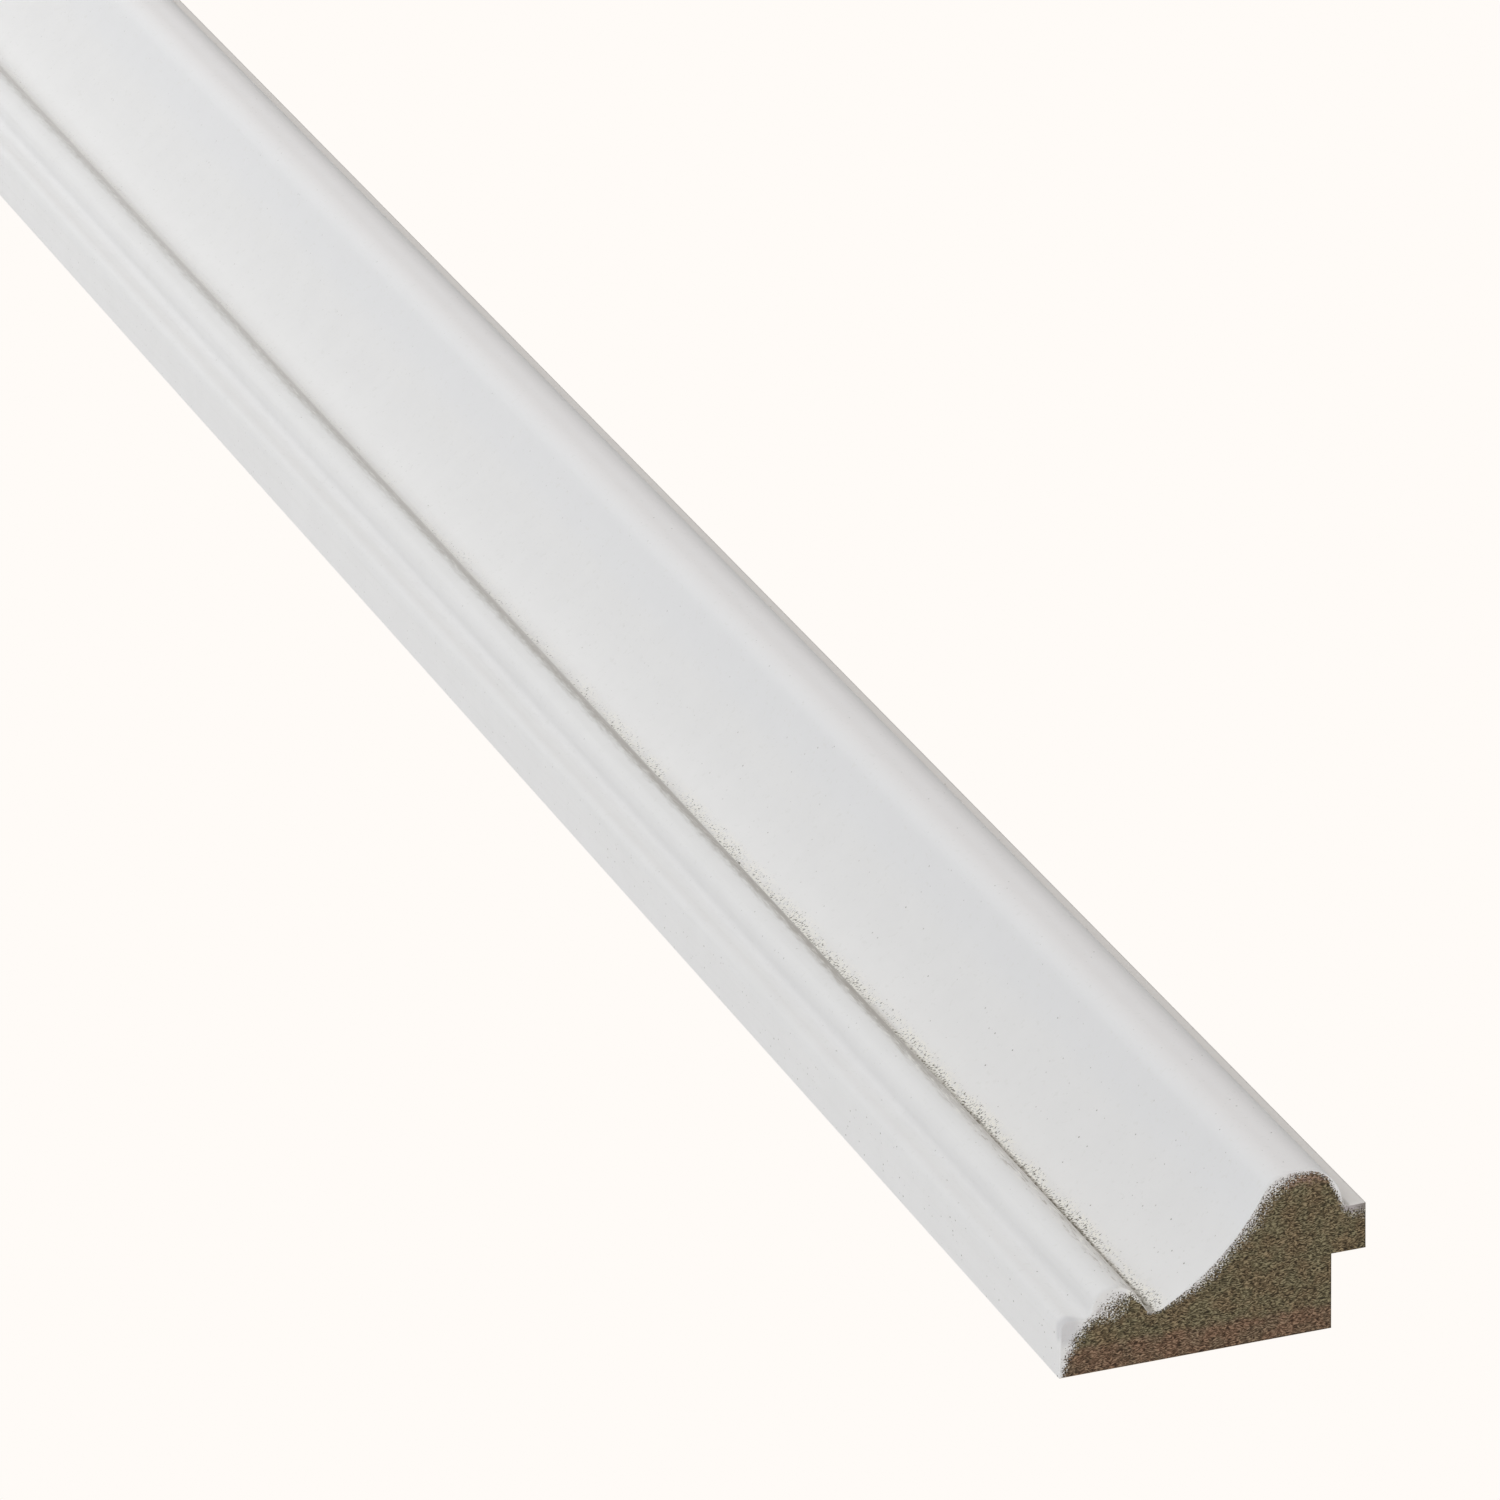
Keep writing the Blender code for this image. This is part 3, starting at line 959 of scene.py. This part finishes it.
def sawnFinish():
    material = bpy.data.materials.new("sawn_fibreboard")
    bench = Bench(material)
    place = bench.millimetres()
    across = bench.part(place, 1) + mm * rail["width"] / 2
    out = bench.part(place, 2)
    bareness = bench.node("ShaderNodeAttribute", {"attribute_name": "bareness"}, {}, "Fac")
    colour, grain = sawnLook(bench, place)
    strength = board["strength"]
    # light specks in the top of the ridge, and a dark line along the edges that have no primer
    pinks = bench.ease(bench.streaked(place, *board["pinks"]), *board["pinkFade"])
    pinkMask = pinks * bench.ease(out, *board["pinkOut"]) * strength["pink"]
    colour = bench.blend(pinkMask, colour, board["pink"])
    bits = bench.streaked(place, *board["bits"])
    edgeMask = edgeLine(bench, across, out) * bench.ease(bits, *board["edgeBits"]) * strength["edge"]
    colour = bench.blend(edgeMask, colour, board["edge"])
    # the primer that the saw broke, and the dark and light bits beside it
    breakUp = (bench.streaked(place, *board["breakUp"]) - 0.5) * board["breakBy"]
    wide = (bench.cloud(place, *board["wide"]) - 0.5) * board["wideBy"]
    ragged = bareness + breakUp + wide
    kept = bench.ease(ragged, *board["keptFade"])
    darkBits = bench.bump(ragged, *board["bitBand"]) * bench.ease(bits, *board["bitFade"])
    colour = bench.blend(darkBits, colour, board["bit"])
    salt = bench.ease(bits, *board["saltFade"]) * bench.bump(bareness, *board["saltBand"])
    colour = bench.blend(salt, colour, board["salt"])
    colour = bench.blend(kept, colour, brokenPrimer(bench, place, across, out, bareness))
    roughness = bench.ease(kept, 0.0, 1.0, board["roughness"], primer["roughness"])
    height = grain * board["height"]["grain"] + kept * board["height"]["kept"]
    bench.finish(colour, roughness, bench.relief(height, board["relief"]), board["gloss"])
    return material


def bareFinish():
    material = bpy.data.materials.new("bare_fibreboard")
    bench = Bench(material)
    place = bench.millimetres()
    strength = board["strength"]
    drift = bench.cloud(place, *board["faceDrift"], "Color")
    warped = bench.shifted(place, drift, board["faceDriftBy"])
    fibres = bench.streaked(warped, *board["faceFibres"])
    patches = bench.ease(bench.cloud(place, *board["patches"]), *board["patchFade"])
    colour = bench.ramp(fibres, board["face"])
    colour = bench.blend(patches * strength["patches"], colour, board["facePatch"])
    # a mist of primer came round the outer edges
    across = bench.part(place, 1) + mm * rail["width"] / 2
    lip, width = mm * rail["width"], board["mistWidth"]
    mist = bench.ease(across, width, 0.0) + bench.ease(across, lip - width, lip)
    mist = mist * bench.ease(fibres, *board["mistFade"]) * strength["mist"]
    colour = bench.blend(mist, colour, primer["cream"])
    roughness = bench.ease(fibres, *board["faceRoughness"])
    normal = bench.relief(fibres * board["height"]["face"], board["faceRelief"])
    bench.finish(colour, roughness, normal, board["gloss"])
    return material


piece = buildRail()
for finish in (primerFinish(), sawnFinish(), bareFinish()):
    piece.data.materials.append(finish)
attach(piece, "root")
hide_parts("dado_rail")
triangleCount = sum(len(face.vertices) - 2 for face in piece.data.polygons)
print("rail:", len(piece.data.vertices), "points,", triangleCount, "triangles")

# The surroundings: a tent whose brightness changes round the rail, a soft light far along it on the bead's
# side, and a pale floor. The angles are in degrees: 0 is level on the lip's side, 90 overhead, 180 level
# on the bead's side. The brightnesses are at or near those that a fit to the photograph's shading gave.
tent = {
    "glow": [
        (-180, 0.50), (-175, 0.60), (-165, 0.76), (-155, 0.60), (-145, 0.72), (-130, 0.82), (-60, 0.88),
        (-40, 0.50), (-30, 0.12), (5, 0.08), (15, 0.28), (25, 0.36), (35, 0.26), (45, 0.52), (55, 0.83),
        (65, 0.87), (75, 0.89), (85, 0.58), (95, 0.46), (105, 0.60), (115, 0.93), (125, 1.14),
        (135, 1.09), (145, 0.84), (155, 0.40), (165, 0.30), (175, 0.44), (180, 0.50),
    ],
    "level": 1.03,
    "towardsEnd": 0.25,
    "warmth": (1.0, 0.970, 0.935),
    "warmFrom": 90,
    "warmFull": 40,
    "full": 1.2,
    "floor": tone(255, 251, 247),
    "floorSize": 16.0,
    "floorDrop": 0.0004,
    "boxPlace": (-0.75, -0.55, 0.55),
    "boxSide": 0.6,
    "boxPower": 2.2,
}


def glowStop(angle, brightness):
    # a stop of the tent's ramp; the light is warmer where it comes off the floor and from the lip's side
    warm = min(1.0, max(0.0, (tent["warmFrom"] - abs(angle)) / (tent["warmFrom"] - tent["warmFull"])))
    colour = [brightness / tent["full"] * (1 + (c - 1) * warm) for c in tent["warmth"]]
    return (angle + 180) / 360, (*colour, 1.0)


def makeTent():
    world = bpy.data.worlds.new("white_tent")
    bpy.context.scene.world = world
    bench = Bench(world)
    way = bench.node("ShaderNodeTexCoord", {}, {}, "Generated")
    sockets = {0: bench.part(way, 2), 1: bench.part(way, 1)}
    turned = bench.node("ShaderNodeMath", {"operation": "ARCTAN2"}, sockets) / math.tau + 0.5
    glow = bench.ramp(turned, [glowStop(*stop) for stop in tent["glow"]])
    strength = (1 + bench.part(way, 0) * tent["towardsEnd"]) * (tent["full"] * tent["level"])
    light = bench.node("ShaderNodeBackground", {}, {"Color": glow, "Strength": strength})
    bench.node("ShaderNodeOutputWorld", {}, {"Surface": light})


def makeSoftbox():
    data = bpy.data.lights.new("softbox", "AREA")
    data.energy, data.size = tent["boxPower"], tent["boxSide"]
    box = bpy.data.objects.new("softbox", data)
    place = Vector(tent["boxPlace"])
    box.matrix_world = Matrix.Translation(place) @ place.to_track_quat("Z", "Y").to_matrix().to_4x4()
    bpy.context.scene.collection.objects.link(box)


def makeFloor():
    half, drop = tent["floorSize"] / 2, -tent["floorDrop"]
    mesh = bpy.data.meshes.new("floor")
    corners = [(-half, -half, drop), (half, -half, drop), (half, half, drop), (-half, half, drop)]
    mesh.from_pydata(corners, [], [(0, 1, 2, 3)])
    floor = bpy.data.objects.new("floor", mesh)
    bpy.context.scene.collection.objects.link(floor)
    material = bpy.data.materials.new("pale_floor")
    bench = Bench(material)
    glow = bench.node("ShaderNodeEmission", {}, {"Color": tent["floor"], "Strength": 1.0})
    clear = bench.node("ShaderNodeBsdfTransparent", {}, {})
    under = bench.node("ShaderNodeNewGeometry", {}, {}, "Backfacing")  # from below, the rail's back shows
    seen = bench.node("ShaderNodeMixShader", {}, {0: under, 1: glow, 2: clear})
    bench.node("ShaderNodeOutputMaterial", {}, {"Surface": seen})
    mesh.materials.append(material)
    floor.visible_diffuse = False  # it hides nothing of the tent from the rail
    floor.visible_shadow = False


makeTent()
makeSoftbox()
makeFloor()
print("floor and light made")

# The camera, as found from the photograph's straight edges
view = {
    "place": (1.3529, -0.4496, 0.5878),
    "yaw": 0.34862,
    "pitch": 0.41040,
    "roll": 0.02073,
    "focal": 259.49,
    "sensor": 36.0,
    "nearest": 0.05,
    "furthest": 60.0,
}


def makeCamera():
    yaw, pitch, roll = view["yaw"], view["pitch"], view["roll"]
    forward = Vector((
        -math.cos(yaw) * math.cos(pitch),
        math.sin(yaw) * math.cos(pitch),
        -math.sin(pitch),
    ))
    level = Vector((math.sin(yaw), math.cos(yaw), 0.0))
    down = forward.cross(level)
    right = level * math.cos(roll) + down * math.sin(roll)
    down = down * math.cos(roll) - level * math.sin(roll)
    data = bpy.data.cameras.new("photo_view")
    data.lens, data.sensor_width = view["focal"], view["sensor"]
    data.clip_start, data.clip_end = view["nearest"], view["furthest"]
    camera = bpy.data.objects.new("photo_view", data)
    turned = Matrix((right, -down, -forward)).transposed().to_4x4()
    camera.matrix_world = Matrix.Translation(view["place"]) @ turned
    bpy.context.scene.collection.objects.link(camera)
    bpy.context.scene.camera = camera


makeCamera()
bpy.context.scene.view_settings.view_transform = "Standard"
print("camera set")
